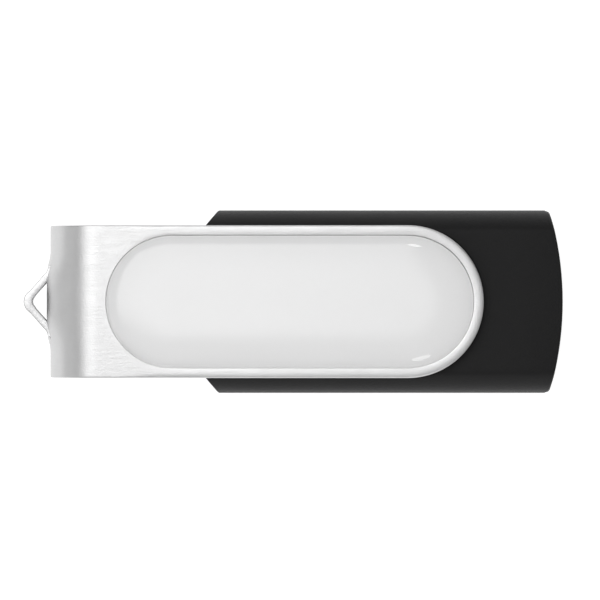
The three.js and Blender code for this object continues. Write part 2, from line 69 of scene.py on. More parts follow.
cover_low, cover_high = span("swivel_cover")
body_low, body_high = span("upper_shell")
dome_low, dome_high = span("resin_dome")
plug_low, plug_high = span("plug_shell")

COVER_HALF = -cover_low.z  # height of the cover's outer faces over the mid-plane
COVER_RADIUS = cover_high.y
BODY_HALF = body_high.z
BODY_SIDE = body_high.y
BODY_FRONT = body_low.x
BODY_REAR = body_high.x
PLUG_TIP = plug_low.x
PLUG_SIDE = plug_high.y
PLUG_TOP = plug_high.z
EAR_REAR = plug_high.x  # where the plug's ears end

# ---------------------------------------------------------------- sizes the frame doesn't name, in mm

SHEET = 0.8  # the cover's metal
POCKET_RIM = 1.04  # width of the metal round the pocket
POCKET_LENGTH = 38.14
EMBOSS = 0.4  # depth of the pocket and of the pad
PRESS_WALL = 0.4  # how much wider a pressing is inside than outside
PAD_RADIUS = 6.0
DIMPLE_RADIUS = 3.2
DIMPLE_WALL = 0.56  # how much less than that the dimple's radius is on the outside
DIMPLE_DEPTH = 0.75
RIM_FADE = 2.0  # how much wider than the rim the metal is where it lies flat
RIM_ARCH = 0.055  # how far the metal falls at its edges from the middle of the rim
INNER_ARCH = 0.6  # of that, at the pocket's edge

LOOP_REACH = 2.72  # of the cord loop beyond the fold
LOOP_STRIP = 3.2  # height of the strip that the loop is lanced from
LOOP_ROOT = 3.5  # from the loop's middle to where a leg meets the fold
LOOP_TIP = 1.15  # outer radius of the loop's tip
LOOP_CROWN = 0.93  # radius of the strip's middle at the tip
LOOP_BEND = 1.2  # radius of a leg's bend back into the fold
LOOP_THIN = 0.95  # a leg's thickness, as a share of the sheet's
LOOP_THICKER = 0.22  # how much more than that share the tip's is
LOOP_THICK_FADE = (0.25, 1.1)  # from the loop's middle, where the tip thins to the leg
LOOP_BULGE = 0.74  # how far lancing has drawn the fold outwards
BULGE_FADE = 1.7  # width beyond the loop's root that the bulge fades out over
ROOT_BLEND = 0.3  # width in which a leg turns into the fold's metal
SLOT_WIDTH = 0.05  # of the cut beside the strip

SIDE_ROUND = 2.06  # width of the body's rounded sides, seen from above
REAR_RADIUS = 33.2  # of the body's curved end
REAR_CORNER = 0.5
SHOULDER = 2.15  # length along X of the slanted corners beside the plug
SHOULDER_SLOPE = math.tan(math.radians(50.4))
WALL = 1.1
FRONT_WALL = 1.5
BODY_EDGE = 0.22  # radius of the body's moulded edges
FRONT_EDGE_SHARE = 0.5  # of that radius at the body's front
SEAM = 0.07  # chamfer along the parting line
ARM_GAP = 0.15  # between the body and an arm of the cover
RECESS_GAP = 0.1  # round and under a dimple in the body's recess
HUB_RIM = 1.4  # how far the hub inside a shell reaches past the dimple
HUB_FLOOR = 0.7  # thickness of the hub under the recess
POST_RADIUS = 1.1
POSTS = ((-13.0, 1.1), (12.9, 1.8))  # each post's place along X, and in from the side wall
MOUTH_GAP = 0.05  # round the plug where it leaves the body

PLUG_WALL = 0.3
PLUG_CORNER = 0.6
PLUG_EDGE = 0.13  # radius round the outside of the plug's mouth
PLUG_LEAD = 0.1  # chamfer round the inside of it
PLUG_REAR = -18.6
PLUG_SEAM = 0.07  # width of the seam where the plug's sheet meets underneath
PLUG_SEAM_DEPTH = 0.12
WINDOW_LENGTH = 2.0
WINDOW_WIDTH = 2.5
WINDOW_MIDDLE = 2.9  # from the plug's middle
WINDOW_SETBACK = 5.16  # from the plug's tip
WINDOW_DEPTH = 1.0  # height in the bore that a window's cut stops at
EAR_TOP = 1.25
EAR_BOTTOM = -0.1
EAR_LOW = -1.3  # lower end of the tab under an ear
EAR_TAB = 1.4  # length of that tab
TONGUE_EDGE = 0.08  # width of the insulator's bevel
CONTACT_EDGE = 0.025  # width of a contact's bevel

MID_RADIUS = COVER_HALF - SHEET / 2  # of the fold's mid-surface
FOLD_OUTER = cover_low.x + LOOP_REACH
ARM = -(FOLD_OUTER + COVER_HALF)  # from the swivel to the start of the fold
FOLD_LENGTH = math.pi * MID_RADIUS
FOLD_END = ARM + FOLD_LENGTH
STRIP = 2 * ARM + FOLD_LENGTH  # developed length between the two ends' centres
FOLD_MIDDLE = STRIP / 2
POCKET_RADIUS = COVER_RADIUS - POCKET_RIM
POCKET_CENTRES = (0.0, POCKET_LENGTH - 2 * POCKET_RADIUS)
SLOT_HALF = LOOP_STRIP / 2 + SLOT_WIDTH
SLOT_END = LOOP_ROOT + ROOT_BLEND

# ---------------------------------------------------------------- helpers

SHARP = 32  # degrees between two faces that make an edge sharp
SMALL_TURN = math.pi / 10  # between the points of a small rounded edge
BITE = 0.2  # how far a joined shape runs into the one that it joins
PAST = 1.0  # how far a cutting shape runs past what it cuts


def place(point):
    return pivot + Vector(point) * MM


def smoothstep(low, high, value):
    t = min(1.0, max(0.0, (value - low) / (high - low)))
    return t * t * (3 - 2 * t)


def steps(low, high, spacing):
    """Evenly spaced values from low to high, both ends in, no further apart than spacing."""
    count = max(1, math.ceil(abs(high - low) / spacing))
    return [low + (high - low) * i / count for i in range(count + 1)]


def arc(centre, radius, start, end, count):
    """Points of an arc, the last one left out."""
    turns = [start + (end - start) * i / count for i in range(count)]
    return [(centre[0] + radius * math.cos(t), centre[1] + radius * math.sin(t)) for t in turns]


def stadium(first, last, radius, stations, count):
    """A slot shape along the first axis, with its straight sides cut at the given stations."""
    loop = arc((last, 0), radius, -math.pi / 2, math.pi / 2, count)
    loop += [(s, radius) for s in reversed(stations)]
    loop += arc((first, 0), radius, math.pi / 2, 1.5 * math.pi, count)
    loop += [(s, -radius) for s in stations]
    return [p for i, p in enumerate(loop) if math.dist(p, loop[i - 1]) > 1e-6]


def ring(centre, radius, count=64):
    return arc((centre, 0), radius, 0, 2 * math.pi, count)


def mesh_object(name, points, faces, sharp=SHARP):
    mesh = bpy.data.meshes.new(name)
    mesh.from_pydata([place(p) for p in points], [], faces)
    mesh.validate()
    mesh.shade_smooth()
    mesh.set_sharp_from_angle(angle=math.radians(sharp))
    made = bpy.data.objects.new(name, mesh)
    scene.collection.objects.link(made)
    return made


# ---------------------------------------------------------------- sheet metal

def closed(count, start):
    """The edges of a closed loop of count points."""
    return [(start + i, start + (i + 1) % count) for i in range(count)]


def stamped(loops, seeds, inside, locate):
    """A piece of sheet as points and faces.

    loops and seeds lie in the developed sheet, inside says which flat points are metal, and
    locate(point, face) puts a flat point on the outer (1) or inner (-1) face.
    """
    flat, edges = [], []
    for loop in loops:
        edges += closed(len(loop), len(flat))
        flat += loop
    flat += seeds
    made = delaunay_2d_cdt([Vector(p) for p in flat], edges, [], 0, 1e-6)
    flat, triangles = made[0], made[2]
    kept = []
    for a, b, c in triangles:
        if inside((flat[a] + flat[b] + flat[c]) / 3):
            kept.append((a, b, c))
    used = sorted({i for triangle in kept for i in triangle})
    order = {i: n for n, i in enumerate(used)}
    count = len(used)
    points = [locate(flat[i], 1) for i in used] + [locate(flat[i], -1) for i in used]
    faces, open_edges = [], {}
    for triangle in kept:
        a, b, c = (order[i] for i in triangle)
        faces += [(a, b, c), (c + count, b + count, a + count)]
        for edge in ((a, b), (b, c), (c, a)):
            if edge[::-1] in open_edges:
                del open_edges[edge[::-1]]
            else:
                open_edges[edge] = True
    faces += [(b, a, a + count, b + count) for a, b in open_edges]
    return points, faces


def beyond_stadium(point, first, last):
    """A flat point's distance from the segment between two centres."""
    nearest = min(max(point[0], first), last)
    return math.dist((point[0], point[1]), (nearest, 0))


def rounding(distance, radius):
    """Fall of a surface at a distance from its edge, for a quarter-round edge."""
    if distance >= radius:
        return 0.0
    return radius - math.sqrt(max(0.0, radius**2 - (radius - max(0.0, distance)) ** 2))


def along(path, share):
    """The point at a share of a path's length, and the direction there."""
    lengths = [math.dist(a, b) for a, b in zip(path, path[1:])]
    left = share * sum(lengths)
    for a, b, length in zip(path, path[1:], lengths):
        if left <= length or b is path[-1]:
            t = min(1.0, left / length)
            heading = ((b[0] - a[0]) / length, (b[1] - a[1]) / length)
            return (a[0] + (b[0] - a[0]) * t, a[1] + (b[1] - a[1]) * t), heading
        left -= length


# ---------------------------------------------------------------- cover

EDGE_RADIUS = 0.13  # of the sheet's edge on the outside
INNER_EDGE = 0.1  # of its edge on the inside
LOOP_EDGE = 0.09  # of the cord loop's edges
RIM_HALF = POCKET_RIM / 2

# Where each pressed wall starts and ends, from the pocket's or pad's outline or a dimple's centre
POCKET_FRONT = (-0.05, 0.01)
POCKET_BACK = (PRESS_WALL - 0.2, PRESS_WALL + 0.05)
PAD_FRONT = (-0.22, 0.22)
PAD_BACK = (PRESS_WALL - 0.25, PRESS_WALL + 0.1)
DISH = DIMPLE_RADIUS - DIMPLE_WALL
DIMPLE_FRONT = (DISH - 0.5, DISH + 0.06)
DIMPLE_BACK = (DIMPLE_RADIUS - 0.3, DIMPLE_RADIUS)

# Where the mesh has rows of points, from the same places, the sheet's edge and the strip's middle
EDGE_RINGS = (0, 0.01, 0.035, 0.075, EDGE_RADIUS, 0.22, 0.32, 0.42, RIM_HALF)
POCKET_RINGS = (-0.32, -0.24, -0.16, -0.1, -0.05, 0, 0.04, 0.1, 0.2, 0.28, 0.34, 0.4, RIM_HALF)
PAD_RINGS = (-0.5, -0.35, -0.2, -0.1, 0, 0.1, 0.2, 0.3, 0.4, 0.5)
DIMPLE_RINGS = (2.0, 2.15, 2.3, 2.45, 2.64, 2.8, 2.92, 3.05, 3.14, 3.2)
LOOP_ROWS = (0, 0.55, 1.1, 1.45, 1.52, 1.56, 1.585)

# How far apart its other points are
ARM_SPACING = 1.2  # along the outlines on the flat arms
FLAT_SPACING = 1.0  # on the flat metal between them
FOLD_SPACING = 0.3  # round the fold
FOLD_ACROSS = 0.35  # across the fold
SLOT_SPACING = 0.12  # along the slots

# How far those points keep from the rows
EDGE_CLEAR = 0.9
POCKET_CLEAR = (-0.7, 0.9)
PAD_CLEAR = 0.8
DIMPLE_CLEAR = (1.6, 3.6)  # from the dimple's centre
FOLD_CLEAR = 0.6
FOLD_EDGE_CLEAR = 0.8
SLOT_CLEAR = 0.1


def arch(distance):
    """Fall of the metal towards a cut or pressed edge of the rim."""
    return RIM_ARCH * max(0.0, 1 - distance / RIM_HALF) ** 2


def fold_bulge(y, z):
    """How far lancing the cord loop has drawn the fold outwards."""
    across = 1 - smoothstep(LOOP_ROOT / 2, LOOP_ROOT + BULGE_FADE, abs(y))
    upward = 1 - smoothstep(LOOP_STRIP / 4, COVER_HALF, abs(z))
    return LOOP_BULGE * across * upward


def loop_path():
    """The cord loop's centreline in plan, from its middle to its root."""
    root = FOLD_OUTER + SHEET / 2 - fold_bulge(SLOT_END, 0)
    slope = math.atan2(LOOP_REACH + LOOP_TIP * (math.sqrt(2) - 1), LOOP_ROOT)
    outer_corner = FOLD_OUTER - LOOP_REACH - LOOP_TIP * (1 / math.cos(slope) - 1)
    corner = outer_corner + LOOP_THIN * SHEET / 2 / math.cos(slope)
    knee = (root - corner) / math.tan(slope)
    crown = corner + LOOP_CROWN / math.cos(slope)
    path = arc((crown, 0), LOOP_CROWN, math.pi, math.pi / 2 + slope, 12)
    cut = LOOP_BEND * math.tan(math.pi / 4 - slope / 2)
    turn = (root - LOOP_BEND, knee + cut)
    path += arc(turn, LOOP_BEND, slope - math.pi / 2, 0, 12)
    path += [(root, knee + cut), (root, SLOT_END)]
    return path


LOOP_PATH = loop_path()


def distances(p):
    """A flat point's distance in from the sheet's edge, and out from the pocket, pad and dimple.

    The pocket's and the pad's are from their outlines, the dimple's is from the nearer centre.
    """
    edge = COVER_RADIUS - beyond_stadium(p, 0, STRIP)
    rim = beyond_stadium(p, *POCKET_CENTRES) - POCKET_RADIUS
    to_pad = math.dist((p[0], p[1]), (STRIP, 0)) - PAD_RADIUS
    to_dimple = min(math.dist((p[0], p[1]), (centre, 0)) for centre in (0, STRIP))
    return edge, rim, to_pad, to_dimple


def cover_loops(across):
    """Rows of points along the outline, the pressings and the two slots of the flat sheet."""
    edge_stations = steps(0, ARM, ARM_SPACING) + steps(ARM, FOLD_END, FOLD_SPACING)[1:-1]
    edge_stations += steps(FOLD_END, STRIP, ARM_SPACING)
    pocket_stations = steps(*POCKET_CENTRES, ARM_SPACING)
    loops = [stadium(0, STRIP, COVER_RADIUS - inset, edge_stations, 64) for inset in EDGE_RINGS]
    for offset in POCKET_RINGS:
        loops.append(stadium(*POCKET_CENTRES, POCKET_RADIUS + offset, pocket_stations, 56))
    loops += [ring(STRIP, PAD_RADIUS + offset, 96) for offset in PAD_RINGS]
    loops += [ring(centre, radius, 72) for radius in DIMPLE_RINGS for centre in (0, STRIP)]
    for side in (-1, 1):
        near, far = side * LOOP_STRIP / 2, side * SLOT_HALF
        loop = [(FOLD_MIDDLE + near, y) for y in across]
        loops.append(loop + [(FOLD_MIDDLE + far, -y) for y in across])
    return loops


def cover_seeds(across):
    """The flat sheet's other points: on the flat metal, on the fold and on the cord loop."""
    seeds = []
    for s in steps(-COVER_RADIUS, STRIP + COVER_RADIUS, FLAT_SPACING):
        for y in steps(-COVER_RADIUS, COVER_RADIUS, FLAT_SPACING):
            edge, rim, to_pad, to_dimple = distances((s, y))
            near_pocket = POCKET_CLEAR[0] < rim < POCKET_CLEAR[1]
            near_dimple = DIMPLE_CLEAR[0] < to_dimple < DIMPLE_CLEAR[1]
            near_pressing = near_pocket or near_dimple or abs(to_pad) < PAD_CLEAR
            on_fold = ARM - FOLD_CLEAR < s < FOLD_END + FOLD_CLEAR
            if edge > EDGE_CLEAR and not near_pressing and not on_fold:
                seeds.append((s, y))
    widest = COVER_RADIUS - FOLD_EDGE_CLEAR
    for s in steps(ARM - FOLD_SPACING, FOLD_END + FOLD_SPACING, FOLD_SPACING):
        for y in steps(-widest, widest, FOLD_ACROSS):
            if abs(s - FOLD_MIDDLE) > SLOT_HALF + SLOT_CLEAR or abs(y) > SLOT_END + SLOT_CLEAR:
                seeds.append((s, y))
    for y in across[1:-1]:
        for w in LOOP_ROWS:
            seeds += [(FOLD_MIDDLE + w, y), (FOLD_MIDDLE - w, y)]
    return seeds


def in_sheet(p):
    in_slot = LOOP_STRIP / 2 < abs(p[0] - FOLD_MIDDLE) < SLOT_HALF and abs(p[1]) < SLOT_END
    return beyond_stadium(p, 0, STRIP) < COVER_RADIUS and not in_slot


def relief(p, face):
    """How far a face lies below its plain level, towards the middle of the cover."""
    edge, rim, to_pad, to_dimple = distances(p)
    if face > 0:
        drawn = 1 - smoothstep(POCKET_RIM, POCKET_RIM + RIM_FADE, edge + rim)
        inner_fall = drawn * RIM_ARCH * INNER_ARCH
        fall = drawn * arch(edge) + rounding(edge, EDGE_RADIUS)
        fall += drawn * arch(max(0, rim)) * INNER_ARCH
        fall += (EMBOSS - inner_fall) * (1 - smoothstep(*POCKET_FRONT, rim))
        fall += EMBOSS * (1 - smoothstep(*PAD_FRONT, to_pad))
        return fall + DIMPLE_DEPTH * (1 - smoothstep(*DIMPLE_FRONT, to_dimple))
    fall = -rounding(edge, INNER_EDGE)
    fall += EMBOSS * (1 - smoothstep(*POCKET_BACK, rim))
    fall += EMBOSS * (1 - smoothstep(*PAD_BACK, to_pad))
    return fall + DIMPLE_DEPTH * (1 - smoothstep(*DIMPLE_BACK, to_dimple))


def on_strip(p, height):
    """A flat point on the folded cover, at a height over its mid-surface."""
    s, y = p[0], p[1]
    if s <= ARM:
        return Vector((-s, y, MID_RADIUS + height))
    if s >= FOLD_END:
        return Vector((s - FOLD_END - ARM, y, -MID_RADIUS - height))
    turn = (s - ARM) / MID_RADIUS
    radius = MID_RADIUS + height
    z = radius * math.cos(turn)
    return Vector((-ARM - radius * math.sin(turn) - fold_bulge(y, z), y, z))


def on_loop(p, height):
    """A flat point of the lanced strip on the cord loop, at a height over its mid-surface."""
    w, y = p[0] - FOLD_MIDDLE, p[1]
    centre, heading = along(LOOP_PATH, abs(y) / SLOT_END)
    side = 1 if y >= 0 else -1
    stretch = LOOP_THIN + LOOP_THICKER * (1 - smoothstep(*LOOP_THICK_FADE, abs(y)))
    outward = Vector((-heading[1], heading[0])) * height * stretch
    outward *= 1 - rounding(LOOP_STRIP / 2 - abs(w), LOOP_EDGE) / (SHEET / 2)
    return Vector((centre[0] + outward.x, side * (centre[1] + outward.y), -w))


def on_cover(p, face):
    """A flat point's place on the outer (1) or inner (-1) face of the cover."""
    height = face * SHEET / 2 - relief(p, face)
    base = on_strip(p, height)
    share = 1 - smoothstep(LOOP_ROOT, SLOT_END, abs(p[1]))
    if abs(p[0] - FOLD_MIDDLE) > LOOP_STRIP / 2 + 1e-4 or share <= 0:
        return base
    return base.lerp(on_loop(p, height), share)


def cover_piece():
    across = steps(-SLOT_END, SLOT_END, SLOT_SPACING)
    shape = stamped(cover_loops(across), cover_seeds(across), in_sheet, on_cover)
    return mesh_object("cover", *shape, sharp=40)


# ---------------------------------------------------------------- label's resin dome

BOND = 0.02  # how far the resin reaches into the film that it has set on
RESIN_FILL = 0.09  # how far outside the pocket's wall the dome's curve would start
RESIN_SHRINK = 0.035  # the hairline it has drawn back from the wall, at its +X end and +Y side
DOME_SHOULDER = 4.6  # from the dome's edge to where it is level
DOME_POWER = 2.1  # of its curve; 2 is an ellipse
DOME_TURN = math.pi / 44  # between the rings on its shoulder
DOME_RING_SPACING = 0.7  # between those on its level middle
DOME_RING_LAST = 0.5  # least radius of a ring
DOME_SPACING = 0.8  # along its straight sides


def dome_piece():
    first, last = -POCKET_CENTRES[1], -RESIN_SHRINK
    radius = POCKET_RADIUS + RESIN_FILL
    base = dome_low.z - BOND
    height = dome_high.z - base
    insets = [DOME_SHOULDER * (1 - math.cos(t)) for t in steps(0, math.pi / 2, DOME_TURN)]
    insets += steps(DOME_SHOULDER, radius - DOME_RING_LAST, DOME_RING_SPACING)[1:]
    stations = steps(first, last, DOME_SPACING)
    points, faces = [], []
    for inset in insets:
        share = min(1.0, inset / DOME_SHOULDER)
        z = base + height * math.sqrt(max(0.0, 1 - (1 - share) ** DOME_POWER))
        reach = min(radius - inset, POCKET_RADIUS)
        outline = stadium(first, last, reach, stations[1:-1], 48)
        points += [(x, y - RESIN_SHRINK, z) for x, y in outline]
    count = len(points) // len(insets)
    for k in range(len(insets) - 1):
        for i in range(count):
            j = (i + 1) % count
            a, b = k * count, (k + 1) * count
            faces.append((a + i, a + j, b + j, b + i))
    faces.append(tuple((len(insets) - 1) * count + i for i in range(count)))
    faces.append(tuple(reversed(range(count))))
    return mesh_object("dome", points, faces, sharp=60)


# ---------------------------------------------------------------- solids to join and to carve with

def prism(outline, z0, z1):
    """A flat outline, counter-clockwise, made solid between two heights."""
    count = len(outline)
    points = [(x, y, z0) for x, y in outline] + [(x, y, z1) for x, y in outline]
    faces = [(i, (i + 1) % count, (i + 1) % count + count, i + count) for i in range(count)]
    return points, faces + [tuple(reversed(range(count))), tuple(range(count, 2 * count))]


def block(x0, x1, y0, y1, z0, z1):
    y0, y1 = sorted((y0, y1))
    return prism([(x0, y0), (x1, y0), (x1, y1), (x0, y1)], z0, z1)


def rounded_rectangle(half_y, half_z, radius):
    """Counter-clockwise corners of a rectangle in (y, z), from the middle of its lower side."""
    loop = [(0.0, -half_z)]
    for k, (sy, sz) in enumerate(((1, -1), (1, 1), (-1, 1), (-1, -1))):
        centre = (sy * (half_y - radius), sz * (half_z - radius))
        end = k * math.pi / 2
        loop += arc(centre, radius, (k - 1) * math.pi / 2, end, 8)
        loop.append((centre[0] + radius * math.cos(end), centre[1] + radius * math.sin(end)))
    return loop


def through_x(*sections):
    """Outlines in (y, z), each with its place along X, made one solid."""
    count = len(sections[0][1])
    points = [(x, y, z) for x, outline in sections for y, z in outline]
    faces = []
    for start in range(0, len(points) - count, count):
        for i in range(count):
            j = (i + 1) % count
            faces.append((start + i, start + j, start + j + count, start + i + count)[::-1])
    last = len(points) - count
    faces.append(tuple(range(count))[::-1])
    faces.append(tuple(range(last, len(points))))
    return points, faces


def mirrored(shape):
    """A shape turned over through the parting plane."""
    points, faces = shape
    return [(x, y, -z) for x, y, z in points], [tuple(reversed(f)) for f in faces]


def carved(name, start, changes):
    """The start shape with each (operation, shape) applied to it in turn."""
    made = mesh_object(name, *start)
    for operation, shape in changes:
        tool = mesh_object("tool", *shape)
        modifier = made.modifiers.new("carve", "BOOLEAN")
        modifier.operation = operation
        modifier.solver = "EXACT"
        modifier.object = tool
        graph = bpy.context.evaluated_depsgraph_get()
        result = bpy.data.meshes.new_from_object(made.evaluated_get(graph))
        made.modifiers.clear()
        old = made.data
        made.data = result
        bpy.data.meshes.remove(old)
        tool_mesh = tool.data
        bpy.data.objects.remove(tool)
        bpy.data.meshes.remove(tool_mesh)
    made.data.name = name
    made.data.shade_smooth()
    made.data.set_sharp_from_angle(angle=math.radians(SHARP))
    return made


# ---------------------------------------------------------------- body shells

SIDE_RADIUS = (BODY_HALF**2 + SIDE_ROUND**2) / (2 * SIDE_ROUND)
SIDE_CENTRE = BODY_SIDE - SIDE_RADIUS
FRONT_HALF = BODY_SIDE - SHOULDER * SHOULDER_SLOPE
REAR_CENTRE = BODY_REAR - REAR_RADIUS
CORNER_Y = BODY_SIDE - REAR_CORNER
CORNER_X = REAR_CENTRE + math.sqrt((REAR_RADIUS - REAR_CORNER) ** 2 - CORNER_Y**2)

SIDE_TURN = 0.07  # radians between the points of a rounded side
CREASE_TURN = 0.06  # radians below the crease where its softening starts
CREASE_WIDTH = 0.3  # of the softening, on the flat face
LEAST_RISE = 0.01  # of a side's first point over the parting plane
ROW_SHARE = 0.125  # of the body's length, between its rows of points


def half_section(inset, seam):
    """The body's upper outline in (y, z) from the parting line at +Y to -Y, taken in by inset."""
    height, radius = BODY_HALF - inset, SIDE_RADIUS - inset
    top = math.asin(height / radius)
    low = math.asin(max(seam, LEAST_RISE) / radius)
    side = []
    for t in steps(low, top - CREASE_TURN, SIDE_TURN):
        side.append((SIDE_CENTRE + radius * math.cos(t), radius * math.sin(t)))
    crease = SIDE_CENTRE + radius * math.cos(top)
    before, after = side[-1], (crease - CREASE_WIDTH, height)
    for k in (0.25, 0.5, 0.75, 1.0):
        a = (before[0] + (crease - before[0]) * k, before[1] + (height - before[1]) * k)
        b = (crease + (after[0] - crease) * k, height)
        side.append((a[0] + (b[0] - a[0]) * k, a[1] + (b[1] - a[1]) * k))
    half = [(BODY_SIDE - inset - seam, 0.0)] + side + [(FRONT_HALF - inset, height)]
    half += [(y, height) for y in (6, 5, 4, 3, 2, 1)]
    return half + [(0.0, height)] + [(-y, z) for y, z in reversed(half)]


def rear_x(y, inset):
    y = min(abs(y), BODY_SIDE - inset)
    tangent = (REAR_RADIUS - inset) * CORNER_Y / (REAR_RADIUS - REAR_CORNER)
    if y <= tangent or inset >= REAR_CORNER:
        return REAR_CENTRE + math.sqrt((REAR_RADIUS - inset) ** 2 - y**2)
    return CORNER_X + math.sqrt(max(0.0, (REAR_CORNER - inset) ** 2 - (y - CORNER_Y) ** 2))


def front_x(y, inset):
    offset = inset * math.sqrt(1 + 1 / SHOULDER_SLOPE**2)
    shoulder = BODY_FRONT + (abs(y) - FRONT_HALF) / SHOULDER_SLOPE + offset
    return max(BODY_FRONT + inset, shoulder)


def half_block(inset=0.0, front_inset=0.0, edge=BODY_EDGE, seam=SEAM, floor=0.0):
    """The upper half of the body, closed at the floor height, as points and faces."""
    turns = steps(0, math.pi / 2, SMALL_TURN) if edge else [math.pi / 2]
    rows = []
    front = edge * FRONT_EDGE_SHARE
    for t in turns:
        setback = front_inset + front * (1 - math.cos(t))
        outline = half_section(inset + front * (1 - math.sin(t)), seam)
        rows.append([(front_x(y, setback), y, z) for y, z in outline])
    middle = half_section(inset, seam)
    starts = [front_x(y, front_inset + front) for y, z in middle]
    ends = [rear_x(y, inset + edge) for y, z in middle]
    for share in steps(0, 1, ROW_SHARE)[1:-1]:
        row = []
        for (y, z), start, end in zip(middle, starts, ends):
            row.append((start * (1 - share) + end * share, y, z))
        rows.append(row)
    for t in reversed(turns):
        setback = inset + edge * (1 - math.cos(t))
        outline = half_section(inset + edge * (1 - math.sin(t)), seam)
        rows.append([(rear_x(y, setback), y, z) for y, z in outline])
    first, last = rows[0], rows[-1]
    low = [min(seam, z / 2) for _, _, z in first]
    rows.insert(0, [(x, y, z) for (x, y, _), z in zip(first, low)])
    rows.insert(0, [(x + seam, y, floor) for x, y, _ in first])
    rows.append([(x, y, z) for (x, y, _), z in zip(last, low)])
    rows.append([(x - seam, y, floor) for x, y, _ in last])
    points = [p for row in rows for p in row]
    count = len(first)
    if floor:
        sides = [i for r in range(len(rows)) for i in (r * count, r * count + count - 1)]
        points = [(x, y, floor if i in sides else z) for i, (x, y, z) in enumerate(points)]
    faces = []
    for r in range(len(rows) - 1):
        for i in range(count - 1):
            a, b = r * count + i, (r + 1) * count + i
            faces.append((a, b, b + 1, a + 1))
    rim = [r * count for r in range(len(rows))]
    rim += list(range((len(rows) - 1) * count + 1, len(rows) * count))
    rim += [r * count + count - 1 for r in reversed(range(len(rows) - 1))]
    rim += list(reversed(range(1, count - 1)))
    faces.append(tuple(rim))
    return points, faces


def shell_piece(name, upper):
    turned = (lambda shape: shape) if upper else mirrored
    inner = BODY_HALF - WALL
    recess_floor = BODY_HALF + ARM_GAP - DIMPLE_DEPTH - RECESS_GAP
    mouth = rounded_rectangle(PLUG_SIDE + MOUTH_GAP, PLUG_TOP + MOUTH_GAP, PLUG_CORNER)
    mouth_end = BODY_FRONT + FRONT_WALL + PAST
    hub = ring(0, DIMPLE_RADIUS + HUB_RIM)
    recess = ring(0, DIMPLE_RADIUS + RECESS_GAP)
    changes = [
        ("DIFFERENCE", half_block(WALL, FRONT_WALL, edge=0.0, seam=0.0, floor=-PAST)),
        ("UNION", prism(hub, recess_floor - HUB_FLOOR, inner + BITE)),
        ("DIFFERENCE", prism(recess, recess_floor, BODY_HALF + PAST)),
        ("DIFFERENCE", through_x((BODY_FRONT - PAST, mouth), (mouth_end, mouth))),
    ]
    for x, inset in POSTS:
        for side in (-1, 1):
            y = side * (BODY_SIDE - WALL - inset)
            outline = [(x + px, y + py) for px, py in ring(0, POST_RADIUS, 32)]
            changes.append(("UNION", prism(outline, 0, inner + BITE)))
    changes = [(operation, turned(shape)) for operation, shape in changes]
    return carved(name, turned(half_block()), changes)


# ---------------------------------------------------------------- plug

def tube(x, inset):
    """The plug's outline taken in by inset, at a place along X."""
    return x, rounded_rectangle(PLUG_SIDE - inset, PLUG_TOP - inset, PLUG_CORNER - inset)


def plug_piece():
    """The plug's folded steel shell, with its latch windows and the ears soldered to the board."""
    outer = []
    for t in steps(0, math.pi / 2, SMALL_TURN):
        outer.append(tube(PLUG_TIP + PLUG_EDGE * (1 - math.cos(t)), PLUG_EDGE * (1 - math.sin(t))))
    bore = [tube(PLUG_TIP - PAST, PLUG_WALL - PLUG_LEAD), tube(PLUG_TIP, PLUG_WALL - PLUG_LEAD)]
    bore += [tube(PLUG_TIP + PLUG_LEAD, PLUG_WALL), tube(PLUG_REAR + PAST, PLUG_WALL)]
    changes = [("DIFFERENCE", through_x(*bore))]
    near, far = WINDOW_MIDDLE - WINDOW_WIDTH / 2, WINDOW_MIDDLE + WINDOW_WIDTH / 2
    front = PLUG_TIP + WINDOW_SETBACK
    rear = front + WINDOW_LENGTH
    over = PLUG_TOP + PAST
    for side in (-1, 1):
        for z0, z1 in ((-over, -WINDOW_DEPTH), (WINDOW_DEPTH, over)):
            changes.append(("DIFFERENCE", block(front, rear, side * near, side * far, z0, z1)))
        sheet = (side * (PLUG_SIDE - PLUG_WALL), side * PLUG_SIDE)
        ear = block(PLUG_REAR - BITE, EAR_REAR, *sheet, EAR_BOTTOM, EAR_TOP)
        tab = block(EAR_REAR - EAR_TAB, EAR_REAR, *sheet, EAR_LOW, EAR_BOTTOM + BITE / 2)
        changes += [("UNION", ear), ("UNION", tab)]
    half = PLUG_SEAM / 2
    seam = block(PLUG_TIP - PAST, PLUG_REAR + PAST, -half, half, -over, -PLUG_TOP + PLUG_SEAM_DEPTH)
    changes.append(("DIFFERENCE", seam))
    return carved("plug", through_x(*outer, tube(PLUG_REAR, 0)), changes)


# ---------------------------------------------------------------- materials

NOISE_SPAN = (0.3, 0.7)  # where nearly all of a noise's values lie


def material(name, colour, roughness, metallic=0.0, **sockets):
    """A material with its even values on the shader's own sockets, for bump or colour nodes."""
    made = bpy.data.materials.new(name)
    made.use_nodes = True
    shader = made.node_tree.nodes["Principled BSDF"]
    shader.inputs["Base Color"].default_value = (*colour, 1)
    shader.inputs["Roughness"].default_value = roughness
    shader.inputs["Metallic"].default_value = metallic
    for socket, value in sockets.items():
        shader.inputs[socket.replace("_", " ")].default_value = value
    return made


def node(made, kind, **inputs):
    new = made.node_tree.nodes.new(kind)
    for socket, value in inputs.items():
        new.inputs[socket.replace("_", " ")].default_value = value
    return new


def join(made, source, target):
    made.node_tree.links.new(source, target)


def join_shader(made, source, socket):
    join(made, source, made.node_tree.nodes["Principled BSDF"].inputs[socket])


def map_range(tree, value, low, high, at_low, at_high):
    """A value's low to high spread over at_low to at_high."""
    spread = tree.nodes.new("ShaderNodeMapRange")
    ends = {"From Min": low, "From Max": high, "To Min": at_low, "To Max": at_high}
    for socket, number in ends.items():
        spread.inputs[socket].default_value = number
    tree.links.new(value, spread.inputs["Value"])
    return spread.outputs["Result"]


